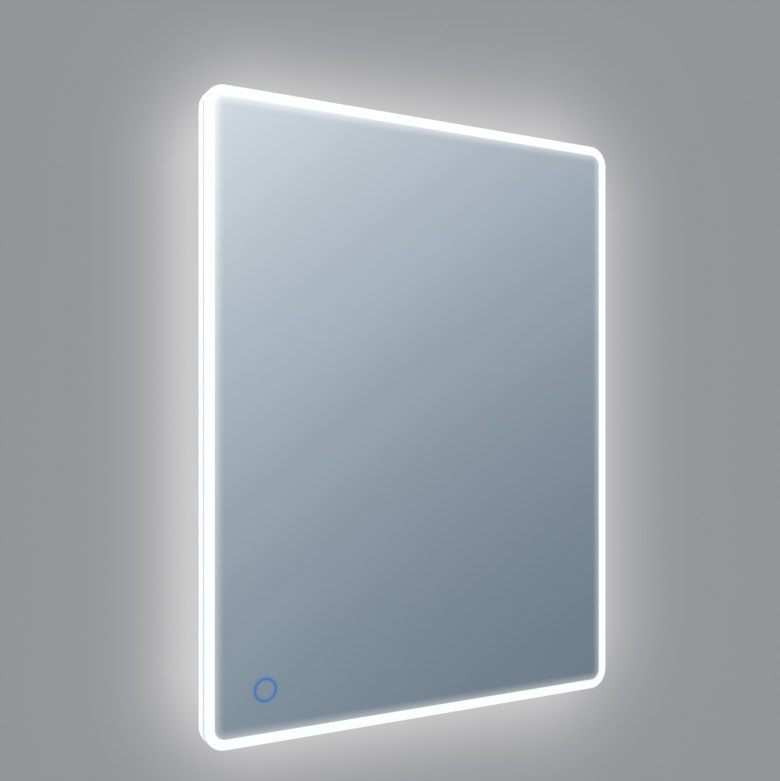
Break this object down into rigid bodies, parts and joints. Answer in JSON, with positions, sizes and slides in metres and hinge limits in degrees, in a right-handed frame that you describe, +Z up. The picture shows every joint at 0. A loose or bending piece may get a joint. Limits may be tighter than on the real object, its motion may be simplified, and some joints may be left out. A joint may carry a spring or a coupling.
{
  "type": "lighted bathroom mirror",
  "caption": "Portrait wall mirror with rounded corners, a lit frosted band round its edge, an opal light channel behind the glass and a round touch switch at the lower left.",
  "frame": {"origin": "middle of the mirror's width and height, on the rear face of the back cover's raised panel, which is the plane of the wall", "axes": "+X to the right seen from the front, +Y towards the wall, +Z up; the glass faces -Y"},
  "size_m": [0.5, 0.038, 0.65],
  "materials": {
    "silvered_glass": "polished silvered float glass with a frosted band",
    "safety_film": "matt grey film",
    "foam": "closed-cell foam",
    "opal_acrylic": "opal, lit from inside",
    "aluminium_profile": "natural anodised",
    "zinc_plated_steel": "zinc plated",
    "led_board": "white solder mask",
    "coated_sheet_steel": "light grey powder coat",
    "plated_screws": "bright zinc",
    "black_moulding": "black moulding",
    "grommet_rubber": "black rubber",
    "white_moulding": "white moulding",
    "printed_board": "green printed board",
    "light_guide": "clear light guide, lit blue",
    "heating_foil": "laminated heating foil",
    "lead_sheath": "white sheath"
  },
  "bodies": {
    "root": {"back_cover": "coated_sheet_steel", "backing_film": "safety_film", "cable_grommet": "grommet_rubber", "corner_key_bottom_left": "zinc_plated_steel", "corner_key_bottom_right": "zinc_plated_steel", "corner_key_top_left": "zinc_plated_steel", "corner_key_top_right": "zinc_plated_steel", "cover_gasket": "foam", "cover_screws": "plated_screws", "demister_lead": "lead_sheath", "demister_pad": "heating_foil", "driver_board": "printed_board", "driver_case": "white_moulding", "driver_lid": "white_moulding", "edge_diffuser": "opal_acrylic", "glass_bond_tape": "foam", "hanger_plate_left": "zinc_plated_steel", "hanger_plate_right": "zinc_plated_steel", "junction_box": "white_moulding", "junction_lid": "white_moulding", "keyhole_cup_left": "black_moulding", "keyhole_cup_right": "black_moulding", "led_feed_lead": "lead_sheath", "led_jumpers": "led_board", "led_strip_bottom": "led_board", "led_strip_left": "led_board", "led_strip_right": "led_board", "led_strip_top": "led_board", "mains_lead": "lead_sheath", "mirror_glass": "silvered_glass", "profile_bottom": "aluminium_profile", "profile_left": "aluminium_profile", "profile_right": "aluminium_profile", "profile_top": "aluminium_profile", "sensor_board": "printed_board", "sensor_case": "black_moulding", "sensor_light_ring": "light_guide", "strip_feed_lead": "lead_sheath"}
  },
  "joints": []
}
